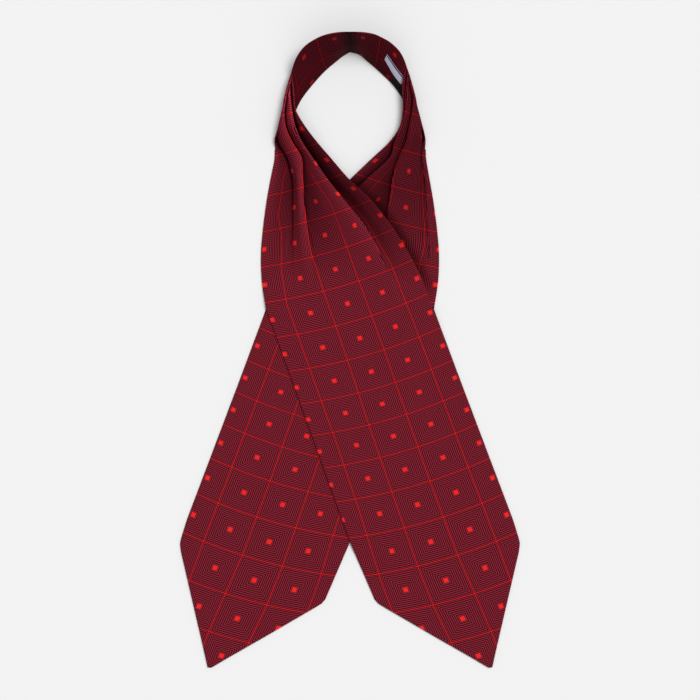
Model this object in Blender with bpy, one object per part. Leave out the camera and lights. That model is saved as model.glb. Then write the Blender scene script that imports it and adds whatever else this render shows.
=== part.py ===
"""A silk day cravat laid flat: a neck loop of pleated cloth and two wide pointed blades.

The cravat is two like halves joined by a seam at the back of the neck.  Each half runs
from that seam round the back of the neck, turns over at the side, comes forward as a
pleated neck and opens into a blade.  The left half crosses on top of the right half.

All sizes are in millimetres and become metres in one place, when a mesh is made.
+X is the right of the cravat as it lies, +Y points to the back of the neck, and the
surface that it lies on is z = 0.
"""
import bmesh
import bpy
from mathutils import Vector

MM = 0.001

# Thicknesses and clearances
CLOTH = 2.0            # silk, interlining and silk, as one wall
BAND_CLOTH = 2.4       # the same cloth with its pleats stitched flat
LABEL_CLOTH = 1.0
GAP = 0.3              # between pieces that meet at a seam or lie on each other
TURN_WIDTH = 3.0       # of the rounded turn at the side, where front and back layers join
TURN_START = 0.5       # its width at the top of the neck, from where it grows
TURN_GROWTH = 0.2      # for each millimetre down the side
FOLD_STEP = 0.4        # how far a pleat's edge stands past the strip that goes under it

# Heights
CENTRE_RISE = 38.0     # the top edge of the band stands up at the back of the neck
FRONT_LIFT = (         # underside of the front of the neck, over the band that turns in
    # y, height
    (262.0, 11.5),
    (250.0, 8.0),
    (238.0, 5.8),
    (226.0, 4.4),
    (211.0, 3.5),
    (202.0, 3.5),
    (190.0, 0.0),
)

SILK_RED = (0.16, 0.012, 0.022, 1.0)
SILK_INNER = (0.09, 0.008, 0.014, 1.0)
LABEL_GREY = (0.62, 0.62, 0.72, 1.0)
SATIN_BLACK = (0.012, 0.012, 0.016, 1.0)

# The pleated necks.  A row is a section across the neck at one y.  The other columns but
# the last are distances from the centre line, towards the half's own side: the outer edge,
# three folds and the neck-hole edge.  The last is how high the pleats stand on the wall.
NECK_COLUMNS = ("y", "outer", "fold_c", "fold_b", "fold_a", "inner", "pleats")
OVER_NECK = (
    (262.0, 54.6, 54.3, 54.0, 53.7, 53.4, 2.0),
    (250.0, 58.3, 57.6, 56.9, 56.2, 53.9, 4.0),
    (238.0, 61.5, 60.8, 60.0, 56.0, 52.4, 4.8),
    (226.0, 64.2, 63.4, 61.6, 54.3, 50.4, 5.4),
    (211.0, 67.8, 66.8, 61.2, 52.1, 42.2, 5.6),
    (196.0, 71.4, 66.7, 55.1, 45.3, 30.8, 5.8),
    (181.0, 71.1, 58.5, 46.2, 35.4, 17.9, 6.0),
    (161.0, 75.0, 53.5, 45.0, 21.5, 0.6, 6.0),
    (140.0, 78.7, 54.0, 43.6, 4.7, -21.3, 5.4),
    (115.0, 82.0, 54.0, 41.0, -15.1, -40.5, 4.0),
    (90.0, 84.0, 53.0, 36.8, -28.3, -56.1, 2.2),
    (65.0, 83.1, 50.0, 32.0, -38.0, -68.4, 0.8),
    (39.0, 79.2, 46.0, 26.0, -46.0, -79.0, 0.0),
)
UNDER_NECK = (
    (262.0, 54.4, 54.1, 53.8, 52.6, 50.5, 2.0),
    (250.0, 58.2, 57.5, 56.7, 53.0, 49.2, 3.8),
    (238.0, 61.3, 60.6, 59.3, 52.2, 49.6, 4.4),
    (226.0, 64.6, 63.6, 58.7, 51.6, 50.2, 4.8),
    (211.0, 68.5, 66.0, 56.2, 48.2, 46.8, 5.0),
    (196.0, 71.6, 67.3, 53.3, 42.0, 36.9, 5.0),
    (181.0, 71.8, 67.5, 46.2, 37.2, 20.9, 4.8),
    (161.0, 75.1, 66.0, 40.3, 16.0, 0.0, 4.0),
    (140.0, 78.7, 64.0, 37.5, -4.7, -21.3, 2.6),
    (115.0, 82.0, 61.0, 35.0, -15.1, -40.5, 1.4),
    (90.0, 84.0, 57.0, 32.0, -28.3, -56.1, 0.6),
    (65.0, 83.1, 52.0, 29.0, -38.0, -68.4, 0.2),
    (39.0, 79.2, 46.0, 26.0, -46.0, -79.0, 0.0),
)

# Each strip between two folds rises towards the neck hole and its edge lies over the next
# strip.  Share is the place across the strip, rise the part of the pleats' height there.
STRIPS = (
    # from       to          (share, rise) across the strip
    ("outer", "fold_c", ((0.0, 0.15), (0.5, 0.25), (1.0, 0.0))),
    ("fold_c", "fold_b", ((0.0, 0.45), (0.35, 0.80), (0.8, 1.0), (1.0, 0.9))),
    ("fold_b", "fold_a", ((0.0, 0.30), (0.4, 0.55), (0.85, 0.8), (1.0, 0.7))),
    ("fold_a", "inner", ((0.0, 0.05), (0.5, 0.3), (1.0, 0.4))),
)

# The blades, as the one that ends on the right.  A row is a section across at one y.
BLADE_COLUMNS = ("y", "near", "far")
BLADE = (
    (38.7, -79.1, 79.1),
    (-25.0, -56.2, 102.8),
    (-100.0, -29.3, 131.1),
    (-160.0, -7.7, 153.8),
    (-181.0, 0.0, 160.3),
    (-189.0, 3.4, 159.6),
    (-236.5, 23.8, 148.6),
    (-239.6, 27.3, 147.9),
    (-270.0, 79.5, 140.8),
    (-292.0, 118.0, 135.8),
    (-298.6, 129.0, 134.6),
    (-299.9, 131.4, 133.4),
)

# The back of the neck, as sections from the centre seam to the turn at each side.  The
# top edge is raised, the lower edge lies on the surface.
BAND_LEFT = (
    # top_x, top_y, low_x, low_y, rise
    (0.0, 298.8, 0.0, 281.6, 1.00),
    (12.0, 298.3, 7.2, 277.4, 0.96),
    (24.0, 295.8, 14.2, 271.8, 0.86),
    (34.0, 291.3, 19.9, 267.2, 0.74),
    (43.3, 284.6, 26.9, 260.6, 0.59),
    (49.9, 275.2, 36.3, 250.0, 0.40),
    (53.3, 264.0, 45.5, 238.4, 0.214),
    (53.0, 252.0, 50.4, 228.8, 0.10),
    (54.8, 240.0, 53.5, 221.0, 0.03),
    (58.6, 224.0, 56.5, 214.0, 0.0),
)
BAND_RIGHT = (
    # top_x, top_y, low_x, low_y, rise
    (0.0, 298.8, 0.0, 281.6, 1.00),
    (11.0, 298.5, 9.0, 279.0, 0.97),
    (21.5, 297.0, 16.2, 273.2, 0.88),
    (30.5, 293.2, 22.5, 268.0, 0.77),
    (38.9, 288.2, 28.8, 262.4, 0.63),
    (47.1, 279.7, 36.1, 255.6, 0.44),
    (51.5, 268.0, 42.2, 249.0, 0.29),
    (52.0, 256.0, 47.6, 241.2, 0.18),
    (54.0, 244.0, 51.5, 234.0, 0.10),
    (57.6, 227.0, 55.5, 222.0, 0.04),
)

# The labels, in the right band's own measures: how far along it, in sections, and where
# their two edges are across it, as shares of its width from the top edge.
LABEL = (
    # along, upper edge, lower edge
    (3.95, 0.365, 0.555),
    (4.45, 0.42, 0.625),
    (5.0, 0.46, 0.69),
    (5.7, 0.44, 0.71),
    (6.5, 0.34, 0.66),
)
CARE_LABEL = (
    # along, upper edge, lower edge
    (5.5, 0.80, 0.96),
    (6.0, 0.77, 0.97),
    (7.0, 0.72, 0.97),
    (7.5, 0.70, 0.96),
)

SECTION_STEPS = 2      # sections made between two rows of a table
BLADE_SPACING = 12.0   # between sections of the upper blade
BLADE_ACROSS = 14      # cells across it
BAND_ACROSS = 4


def smooth_rows(rows, steps):
    """Put sections between the rows of a table, on a smooth curve through every row."""
    made = []
    for index in range(len(rows) - 1):
        before = rows[max(index - 1, 0)]
        start = rows[index]
        end = rows[index + 1]
        after = rows[min(index + 2, len(rows) - 1)]
        for step in range(steps):
            made.append(between_rows(before, start, end, after, step / steps))
    made.append(tuple(float(value) for value in rows[-1]))
    return made


def between_rows(before, start, end, after, share):
    """One section of a Catmull-Rom curve, kept between the two rows that it joins."""
    section = []
    for p0, p1, p2, p3 in zip(before, start, end, after):
        value = 0.5 * (2 * p1 + (p2 - p0) * share
                       + (2 * p0 - 5 * p1 + 4 * p2 - p3) * share ** 2
                       + (3 * p1 - p0 - 3 * p2 + p3) * share ** 3)
        section.append(value)
    return tuple(section)


def mix(low, high, share):
    return low + (high - low) * share


def neck_section(row):
    """Points across a pleated neck: distance from the centre line, and rise of the cloth."""
    places = dict(zip(NECK_COLUMNS, row))
    points = []
    for start, end, profile in STRIPS:
        width = places[start] - places[end]
        step = min(FOLD_STEP, 0.3 * width) if points else 0.0
        for share, rise in profile:
            across = places[start] - mix(step, width, share)
            points.append((across, CLOTH + rise * places["pleats"]))
    return places["y"], points


def neck_rows(table):
    return [neck_section(row) for row in smooth_rows(table, SECTION_STEPS)]


def front_lift(row_y):
    """How high the front of the neck lies over the table, on the band that turns in."""
    if row_y <= FRONT_LIFT[-1][0]:
        return 0.0
    for upper, lower in zip(FRONT_LIFT, FRONT_LIFT[1:]):
        if row_y >= lower[0]:
            return mix(lower[1], upper[1], (row_y - lower[0]) / (upper[0] - lower[0]))
    return 0.0


def fold_lift(row_y, from_outer):
    """Height of a front neck's underside, which comes down to the table at the turn."""
    turn = min(TURN_WIDTH, TURN_START + TURN_GROWTH * (OVER_NECK[0][0] - row_y))
    return 0.0 if from_outer < turn else front_lift(row_y)


def lifted_cells(rows, lower_edges):
    """Mark the points of a grid that lie over the lower half, or next to one that does."""
    over = []
    for row_y, points in rows:
        low, high = lower_edges(row_y)
        over.append([low - GAP < x < high + GAP for x, _ in points])
    marked = []
    for i, line in enumerate(over):
        near = over[max(i - 1, 0):i + 2]
        marked.append([any(any(other[max(j - 1, 0):j + 2]) for other in near)
                       for j in range(len(line))])
    return marked


def table_reader(rows, columns):
    """Read a table at any y, straight between its sections, as a dictionary by column."""
    def read(y):
        y = min(max(y, rows[-1][0]), rows[0][0])
        for upper, lower in zip(rows, rows[1:]):
            if lower[0] <= y <= upper[0]:
                share = (upper[0] - y) / (upper[0] - lower[0])
                values = [mix(a, b, share) for a, b in zip(upper, lower)]
                return dict(zip(columns, values))
    return read


read_under_neck = table_reader(smooth_rows(UNDER_NECK, SECTION_STEPS), NECK_COLUMNS)
read_blade = table_reader(BLADE, BLADE_COLUMNS)


def under_half_edges(y):
    """Left and right edge of the lower half at one y."""
    if y > BLADE[0][0]:
        places = read_under_neck(y)
        return places["inner"], places["outer"]
    places = read_blade(y)
    return -places["far"], -places["near"]


def under_half_height(y):
    """Top of the lower half at one y, at its highest pleat."""
    return CLOTH + read_under_neck(y)["pleats"] if y > BLADE[0][0] else CLOTH


def ring_height(marked, i, j):
    """Part of the lift at a point: whole over the lower half, less for two cells past it."""
    if marked[i][j]:
        return 1.0
    near = marked[max(i - 1, 0):i + 2]
    return 0.35 if any(any(line[max(j - 1, 0):j + 2]) for line in near) else 0.0


def lift_over_lower(rows, grid):
    """Raise a grid of (x, y, underside, top) points where it crosses the lower half."""
    marked = lifted_cells(rows, under_half_edges)
    lifted = []
    for i, line in enumerate(grid):
        height = under_half_height(line[0][1]) + GAP
        lifted.append([(x, y, low + height * ring_height(marked, i, j),
                        top + height * ring_height(marked, i, j))
                       for j, (x, y, low, top) in enumerate(line)])
    return lifted


def neck_grid(table, side):
    """Rows of (x, y, underside, top) points for one pleated neck; side is -1 or 1."""
    grid = []
    for row_y, points in neck_rows(table):
        outer = points[0][0]
        line = []
        for across, rise in points:
            low = fold_lift(row_y, outer - across)
            top = rise + front_lift(row_y)
            line.append((side * across, row_y, low, top))
        grid.append(line)
    return grid


def blade_rows(table, across):
    rows = []
    for row_y, near, far in table:
        rows.append((row_y, [(mix(near, far, j / across), CLOTH)
                             for j in range(across + 1)]))
    return rows


def band_point(section, share, side):
    """A point of the band's middle surface, share of the way from its top edge."""
    top_x, top_y, low_x, low_y, rise = section
    return Vector((side * mix(top_x, low_x, share), mix(top_y, low_y, share),
                   BAND_CLOTH / 2 + CENTRE_RISE * rise * (1 - share)))


def band_section(table, along):
    """The band's section at any place along it, counted in rows of its table."""
    index = min(int(along), len(table) - 2)
    rows = [table[min(max(index + offset, 0), len(table) - 1)] for offset in (-1, 0, 1, 2)]
    return between_rows(*rows, along - index)


def band_frame(table, along, share, side):
    """A point on the band and the direction that its inner face looks in."""
    reach = 0.05
    here = band_section(table, along)
    ahead = band_section(table, min(along + reach, len(table) - 1))
    behind = band_section(table, max(along - reach, 0.0))
    run = band_point(ahead, share, side) - band_point(behind, share, side)
    drop = band_point(here, 1.0, side) - band_point(here, 0.0, side)
    facing = run.cross(drop).normalized()
    if facing.z < 0:
        facing.negate()
    return band_point(here, share, side), facing


def sheet_on_band(table, side, edges, floor, thickness, cells):
    """Rows of lower and upper points for cloth that lies along the band.

    edges are rows of (along, upper edge, lower edge), and floor is the height of the
    cloth's lower side over the band's middle surface.
    """
    rows = []
    for along, near, far in edges:
        line = []
        for j in range(cells + 1):
            point, facing = band_frame(table, along, mix(near, far, j / cells), side)
            line.append((point + facing * floor, point + facing * (floor + thickness)))
        rows.append(line)
    return rows


def evenly(table, spacing):
    """Straight sections between a table's rows, at every spacing of the first column."""
    made = []
    for start, end in zip(table, table[1:]):
        count = max(1, round(abs(end[0] - start[0]) / spacing))
        for step in range(count):
            made.append(tuple(mix(a, b, step / count) for a, b in zip(start, end)))
    made.append(table[-1])
    return made


def grid_to_pairs(grid):
    return [[(Vector((x, y, low)), Vector((x, y, top))) for x, y, low, top in line]
            for line in grid]


def silk(name, colour, roughness):
    material = bpy.data.materials.new(name)
    material.use_nodes = True
    shader = material.node_tree.nodes["Principled BSDF"]
    shader.inputs["Base Color"].default_value = colour
    shader.inputs["Roughness"].default_value = roughness
    shader.inputs["Metallic"].default_value = 0.0
    material.diffuse_color = colour
    return material


def wall_piece(name, pairs, material):
    """Close rows of (lower, upper) points into one solid wall and add it to the scene."""
    mesh = bmesh.new()
    lower = [[mesh.verts.new(low * MM) for low, _ in line] for line in pairs]
    upper = [[mesh.verts.new(top * MM) for _, top in line] for line in pairs]
    last_row = len(pairs) - 1
    last = len(pairs[0]) - 1
    for i in range(last_row):
        for j in range(last):
            mesh.faces.new((upper[i][j], upper[i + 1][j],
                            upper[i + 1][j + 1], upper[i][j + 1]))
            mesh.faces.new((lower[i][j], lower[i][j + 1],
                            lower[i + 1][j + 1], lower[i + 1][j]))
        for j in (0, last):
            mesh.faces.new((lower[i][j], lower[i + 1][j], upper[i + 1][j], upper[i][j]))
    for i in (0, last_row):
        for j in range(last):
            mesh.faces.new((lower[i][j], upper[i][j], upper[i][j + 1], lower[i][j + 1]))
    bmesh.ops.triangulate(mesh, faces=mesh.faces[:])
    bmesh.ops.recalc_face_normals(mesh, faces=mesh.faces[:])
    if mesh.calc_volume(signed=True) < 0:
        bmesh.ops.reverse_faces(mesh, faces=mesh.faces[:])
    data = bpy.data.meshes.new(name)
    mesh.to_mesh(data)
    mesh.free()
    data.materials.append(material)
    piece = bpy.data.objects.new(name, data)
    bpy.context.scene.collection.objects.link(piece)
    return piece


def clear_scene():
    for item in list(bpy.data.objects):
        bpy.data.objects.remove(item, do_unlink=True)


def end_at_seam(pairs, seam_x):
    """Cut a band's first section square at the seam, at one x."""
    square = [tuple(Vector((seam_x, point.y, point.z)) for point in pair)
              for pair in pairs[0]]
    return [square] + pairs[1:]


def make_bands():
    for name, table, side in (("neckband_left", BAND_LEFT, -1),
                              ("neckband_right", BAND_RIGHT, 1)):
        whole = ((0.0, 0.0, 1.0), (len(table) - 1.0, 0.0, 1.0))
        pairs = sheet_on_band(table, side, evenly(whole, 1 / SECTION_STEPS),
                              -BAND_CLOTH / 2, BAND_CLOTH, BAND_ACROSS)
        pairs = end_at_seam(pairs, side * GAP / 2)
        wall_piece(name, pairs, silk(name + "_silk", SILK_INNER, 0.5))


def make_labels():
    floor = BAND_CLOTH / 2 + GAP
    for name, edges, colour in (("label", LABEL, LABEL_GREY),
                                ("care_label", CARE_LABEL, SATIN_BLACK)):
        pairs = sheet_on_band(BAND_RIGHT, 1, evenly(edges, 1 / SECTION_STEPS),
                              floor, LABEL_CLOTH, 2)
        wall_piece(name, pairs, silk(name + "_satin", colour, 0.4))


def make_under_half():
    wall_piece("neck_under", grid_to_pairs(neck_grid(UNDER_NECK, 1)),
               silk("neck_under_silk", SILK_RED, 0.42))
    rows = blade_rows(BLADE, 2)
    grid = [[(-x, y, 0.0, top) for x, top in points] for y, points in rows]
    wall_piece("blade_under", grid_to_pairs(grid),
               silk("blade_under_silk", SILK_RED, 0.42))


def make_over_half():
    grid = neck_grid(OVER_NECK, -1)
    rows = [(line[0][1], [(x, top) for x, _, _, top in line]) for line in grid]
    wall_piece("neck_over", grid_to_pairs(lift_over_lower(rows, grid)),
               silk("neck_over_silk", SILK_RED, 0.42))
    rows = blade_rows(evenly(BLADE, BLADE_SPACING), BLADE_ACROSS)
    grid = [[(x, y, 0.0, top) for x, top in points] for y, points in rows]
    wall_piece("blade_over", grid_to_pairs(lift_over_lower(rows, grid)),
               silk("blade_over_silk", SILK_RED, 0.42))


clear_scene()
make_bands()
make_labels()
make_under_half()
make_over_half()
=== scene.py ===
"""The looks of a silk day cravat that lies flat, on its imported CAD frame.

Two like halves are sewn together at the back of the neck.  Each has a stiff band at the
back, a pleated neck at the front and a pointed blade.  Sizes are in millimetres and become
metres when a mesh is made.  +X is the cravat's right, +Y the back of the neck.
"""

from math import cos, pi, radians, sin

import bmesh
import bpy
import numpy as np
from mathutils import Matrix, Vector
from mathutils.bvhtree import BVHTree


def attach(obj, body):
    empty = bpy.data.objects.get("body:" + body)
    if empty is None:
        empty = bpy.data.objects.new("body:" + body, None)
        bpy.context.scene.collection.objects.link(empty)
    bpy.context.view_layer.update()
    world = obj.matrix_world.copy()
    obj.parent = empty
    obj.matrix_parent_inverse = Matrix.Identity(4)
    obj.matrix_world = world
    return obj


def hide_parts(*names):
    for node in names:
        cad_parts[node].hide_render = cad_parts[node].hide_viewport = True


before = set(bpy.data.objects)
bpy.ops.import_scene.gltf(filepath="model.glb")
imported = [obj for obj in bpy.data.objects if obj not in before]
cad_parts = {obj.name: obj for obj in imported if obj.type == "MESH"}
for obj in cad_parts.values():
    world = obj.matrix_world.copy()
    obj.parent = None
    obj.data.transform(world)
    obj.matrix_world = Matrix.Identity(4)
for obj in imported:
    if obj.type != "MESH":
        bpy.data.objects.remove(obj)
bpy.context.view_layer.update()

MM = 0.001


# ---------------------------------------------------------------------------------------
# The table that the cravat lies on, covered with pale matt paper, in soft studio light
# that comes over its upper right.  The camera looks straight down from far off.
# ---------------------------------------------------------------------------------------
VIEW_WIDTH = 0.6601        # of the table that the camera sees
CAMERA_HEIGHT = 15.0
SENSOR_WIDTH = 36.0        # of the camera, which counts it in millimetres
TABLE_SIZE = 9.0
TABLE_TOP = -0.0002        # just under the cloth, so that the two don't share a face
LAMP_DISTANCE = 3.0


def new_material(name, roughness):
    """A material, its nodes and the sockets of its shader."""
    material = bpy.data.materials.new(name)
    material.use_nodes = True
    shader = material.node_tree.nodes["Principled BSDF"].inputs
    shader["Roughness"].default_value = roughness
    return material, material.node_tree, shader


def put_in_scene(name, data):
    thing = bpy.data.objects.new(name, data)
    bpy.context.scene.collection.objects.link(thing)
    return thing


def far_softbox(name, azimuth, elevation, spread, strength):
    """A wide soft light so far off that it is even all over the table."""
    light = bpy.data.lights.new(name, "SUN")
    light.angle = radians(spread)
    light.energy = strength
    lamp = put_in_scene(name, light)
    level = cos(radians(elevation))
    lamp.location = Vector((level * cos(radians(azimuth)), level * sin(radians(azimuth)),
                            sin(radians(elevation)))) * LAMP_DISTANCE
    lamp.rotation_euler = (-lamp.location).to_track_quat("-Z", "Y").to_euler()


paper, _, paper_shader = new_material("table_paper", 1.0)
paper_shader["Base Color"].default_value = (0.80, 0.80, 0.80, 1.0)
table_mesh = bpy.data.meshes.new("table")
corners = [(x * TABLE_SIZE / 2, y * TABLE_SIZE / 2, TABLE_TOP)
           for x, y in ((-1, -1), (1, -1), (1, 1), (-1, 1))]
table_mesh.from_pydata(corners, [], [(0, 1, 2, 3)])
table_mesh.materials.append(paper)
table_top = put_in_scene("table_top", table_mesh)

far_softbox("key_softbox", azimuth=48.0, elevation=56.0, spread=34.0, strength=2.32)

world = bpy.data.worlds.new("studio")
world.use_nodes = True
world.node_tree.nodes["Background"].inputs["Color"].default_value = (1.0, 1.0, 1.0, 1.0)
world.node_tree.nodes["Background"].inputs["Strength"].default_value = 0.50
bpy.context.scene.world = world
bpy.context.scene.view_settings.view_transform = "Standard"

lens = bpy.data.cameras.new("overhead")
lens.type = "PERSP"
lens.sensor_width = SENSOR_WIDTH
lens.lens = SENSOR_WIDTH * CAMERA_HEIGHT / VIEW_WIDTH
camera = put_in_scene("overhead", lens)
camera.location = (0.0, 0.0, CAMERA_HEIGHT)
bpy.context.scene.camera = camera


# ---------------------------------------------------------------------------------------
# The neckband: two lengths of doubled silk that meet in a seam at the centre of the back.
# They stand up there on their lower edge and lean down to the table at each side, where
# they turn over and become the front.
# ---------------------------------------------------------------------------------------
BAND_CLOTH = 1.5
BAND_RISE = 36.0           # of the top edge at the centre of the back
BAND_STEPS = 8             # sections made between two rows of a table
BAND_ACROSS = 14
BAND_PAINTED_SHADE = 0.44          # painted shade: the inner face, which leans away from the light, is painted darker
LOWER_PAINTED_SHADE = 0.8          # painted a little darker still towards its lower edge
SEAM_PAINTED_SHADE = 0.36          # and painted darker near the crease of the seam, as far as this from it
SEAM_REACH = 13.0
SEAM_OVERLAP = 0.3         # of each band past the middle, where the two are sewn together

# From the centre seam to the turn: the top edge's place, the lower edge's and the part of
# the rise that the top edge has.
BAND_LEFT = (
    # top_x, top_y, low_x, low_y, rise
    (0.0, 298.8, 0.0, 281.6, 1.00),
    (12.0, 298.3, 7.2, 277.4, 0.96),
    (24.0, 295.8, 14.2, 271.8, 0.86),
    (34.0, 291.3, 19.9, 267.2, 0.74),
    (43.3, 284.6, 26.9, 260.6, 0.59),
    (49.9, 275.2, 36.3, 250.0, 0.40),
    (54.0, 264.0, 45.2, 238.4, 0.21),
    (56.4, 252.0, 50.4, 228.8, 0.10),
    (56.6, 240.0, 53.5, 221.0, 0.03),
)
BAND_RIGHT = (
    # top_x, top_y, low_x, low_y, rise
    (0.0, 298.8, 0.0, 281.6, 1.00),
    (11.0, 298.5, 9.0, 279.0, 0.97),
    (21.5, 297.0, 16.2, 273.2, 0.88),
    (30.5, 293.2, 22.5, 268.0, 0.77),
    (38.9, 288.2, 28.8, 262.4, 0.63),
    (47.1, 279.7, 36.1, 255.6, 0.44),
    (52.4, 268.0, 42.2, 249.0, 0.25),
    (55.4, 256.0, 47.6, 241.2, 0.12),
    (56.6, 244.0, 51.5, 234.0, 0.04),
)

# The silk's woven check is counted in panes: window lines lie at whole numbers and the
# little squares half-way.  Along the band, from the seam:
BAND_PANES = (
    # distance, left, right
    (0.0, 0.02, 0.10),
    (13.5, 0.45, 0.54),
    (31.0, 0.97, 1.05),
    (50.0, 1.50, 1.56),
    (85.0, 2.50, 2.60),
)
# Across it, by the share of its width from the top edge: the part of the rise that is
# left there, and the place in the check.
BAND_STAND = ((0.0, 1.0), (0.19, 0.83), (0.67, 0.42), (0.92, 0.11), (1.0, 0.0))
BAND_PANES_ACROSS = ((0.0, 0.27), (0.19, 0.5), (0.66, 1.0), (0.93, 1.5), (1.0, 1.62))
BAND_SLANT = (0.22, 0.12)  # of the crosswise lines, on the left and on the right
SEAM_SWING = 0.22          # of the lengthwise lines, low on the left and near the seam

# The check's own sizes, in panes, and its colours.
CHECK_SIZES = (
    ("Frame spacing", 0.0476),
    ("Square half width", 0.058),
    ("Line half width", 0.0065),
    ("Line guard", 0.028),
)
CHECK_COLOURS = (
    ("Ground red", (0.265, 0.0190, 0.0310, 1.0)),
    ("Ground navy", (0.0045, 0.0035, 0.0090, 1.0)),
    ("Figure red", (0.780, 0.020, 0.019, 1.0)),
    ("Line red", (0.900, 0.018, 0.016, 1.0)),
)
RIBS_IN_A_PANE = 90.0


def mix(low, high, share):
    return low + (high - low) * share


def ease(value):
    """Go smoothly from 0 to 1 as value does."""
    value = np.clip(value, 0.0, 1.0)
    return value * value * (3 - 2 * value)


def smooth_rows(rows, steps):
    """Put sections between the rows of a table, on a smooth curve through every row."""
    rows = np.array(rows, float)
    made = []
    for index in range(len(rows) - 1):
        before = rows[max(index - 1, 0)]
        start = rows[index]
        end = rows[index + 1]
        after = rows[min(index + 2, len(rows) - 1)]
        for step in range(steps):
            t = step / steps
            made.append(0.5 * (2 * start + (end - before) * t
                               + (2 * before - 5 * start + 4 * end - after) * t ** 2
                               + (3 * start - before - 3 * end + after) * t ** 3))
    made.append(rows[-1])
    return np.array(made)


def unit(vectors):
    length = np.linalg.norm(vectors, axis=-1, keepdims=True)
    return vectors / np.maximum(length, 1e-9)


def sheet_facing(points):
    """Direction that each point of a grid faces, from its neighbours along and across."""
    along = np.gradient(points, axis=0)
    across = np.gradient(points, axis=1)
    facing = unit(np.cross(along, across))
    return facing if facing[..., 2].mean() > 0 else -facing


def edge_loop(rows, columns):
    """Grid places round the edge of a sheet, in order."""
    loop = [(0, j) for j in range(columns)]
    loop += [(i, columns - 1) for i in range(1, rows)]
    loop += [(rows - 1, j) for j in range(columns - 2, -1, -1)]
    loop += [(i, 0) for i in range(rows - 2, 0, -1)]
    return loop


def cloth_wall(name, points, panes, light, thickness, material):
    """Make a closed cloth with rounded edges from the grid of its middle surface.

    points are in millimetres, rows by columns by 3.  panes are the places of the same
    points in the woven check, light is the painted light and shade there, which scales the
    silk's colour and is painted dark in a fold, and thickness is one number or one for each
    row.
    """
    rows, columns = points.shape[:2]
    facing = sheet_facing(points)
    half = np.asarray(thickness, float).reshape(-1, 1, 1) / 2
    half = np.broadcast_to(half, (rows, columns, 1))
    upper = points + facing * half
    lower = points - facing * half

    loop = edge_loop(rows, columns)
    at = tuple(np.array(loop).T)
    edge = points[at]
    run = np.roll(edge, -1, axis=0) - np.roll(edge, 1, axis=0)
    outward = unit(np.cross(run, facing[at]))
    side = (rows // 2, 0)
    where = loop.index(side)
    if np.dot(outward[where], points[side] - points[rows // 2, min(3, columns - 1)]) < 0:
        outward = -outward
    rim = [edge + half[at] * (facing[at] * cos(angle) + outward * sin(angle))
           for angle in (pi / 4, pi / 2, 3 * pi / 4)]

    count = rows * columns
    number = np.arange(count).reshape(rows, columns)
    rings = [number[at]]
    for ring in range(len(rim)):
        rings.append(2 * count + ring * len(loop) + np.arange(len(loop)))
    rings.append(count + number[at])

    quads = []
    for i in range(rows - 1):
        for j in range(columns - 1):
            a, b = number[i, j], number[i, j + 1]
            c, d = number[i + 1, j + 1], number[i + 1, j]
            quads.append((a, b, c, d))
            quads.append((count + d, count + c, count + b, count + a))
    for near, far in zip(rings, rings[1:]):
        for k in range(len(loop)):
            after = (k + 1) % len(loop)
            quads.append((near[after], near[k], far[k], far[after]))

    vertices = np.concatenate([upper.reshape(-1, 3), lower.reshape(-1, 3), *rim]) * MM
    vertices[:, 2] = np.maximum(vertices[:, 2], 0.0)
    mesh = bpy.data.meshes.new(name)
    mesh.from_pydata(vertices.tolist(), [], [tuple(int(v) for v in quad) for quad in quads])
    flat = panes.reshape(-1, 2)
    of_vertex = np.concatenate([flat, flat] + [panes[at]] * len(rim))
    corner = np.zeros(len(mesh.loops), int)
    mesh.loops.foreach_get("vertex_index", corner)
    layer = mesh.uv_layers.new(name="panes")
    layer.data.foreach_set("uv", of_vertex[corner].ravel())
    # The painted light and shade goes on every point, for the material to scale its colour by.
    light = np.broadcast_to(light, (rows, columns))
    light = np.concatenate([light.ravel(), light.ravel()] + [light[at]] * len(rim))
    mesh.attributes.new("painted_light_and_shade", "FLOAT", "POINT").data.foreach_set("value", light)
    mesh.polygons.foreach_set("use_smooth", [True] * len(mesh.polygons))
    mesh.materials.append(material)

    shape = bmesh.new()
    shape.from_mesh(mesh)
    if shape.calc_volume(signed=True) < 0:
        bmesh.ops.reverse_faces(shape, faces=shape.faces[:])
    shape.to_mesh(mesh)
    shape.free()
    mesh.update()
    return put_in_scene(name, mesh)


class Wiring:
    """Short ways to add and join the nodes of one tree."""

    def __init__(self, tree):
        self.tree = tree

    def add(self, kind, **settings):
        node = self.tree.nodes.new(kind)
        for key, value in settings.items():
            setattr(node, key, value)
        return node

    def give(self, value, socket):
        """Join another node's output to a socket, or set it to a number or colour."""
        if hasattr(value, "is_linked"):
            self.tree.links.new(value, socket)
        else:
            socket.default_value = value

    def math(self, operation, *values, clamp=False):
        node = self.add("ShaderNodeMath", operation=operation, use_clamp=clamp)
        for value, socket in zip(values, node.inputs):
            self.give(value, socket)
        return node.outputs[0]

    def ribs(self, place, count):
        """Even ribs across a place: a height from 0 to 1."""
        turns = self.math("MULTIPLY", self.math("MULTIPLY", place, count), 2 * pi)
        return self.math("MULTIPLY_ADD", self.math("SINE", turns), 0.5, 0.5)

    def blend(self, factor, first, second):
        node = self.add("ShaderNodeMix", data_type="RGBA")
        self.give(factor, node.inputs[0])
        self.give(first, node.inputs[6])
        self.give(second, node.inputs[7])
        return node.outputs[2]

    def raise_surface(self, height, strength, distance, shader):
        bump = self.add("ShaderNodeBump")
        self.give(strength, bump.inputs["Strength"])
        self.give(distance, bump.inputs["Distance"])
        self.give(height, bump.inputs["Height"])
        self.give(bump.outputs[0], shader["Normal"])


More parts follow.
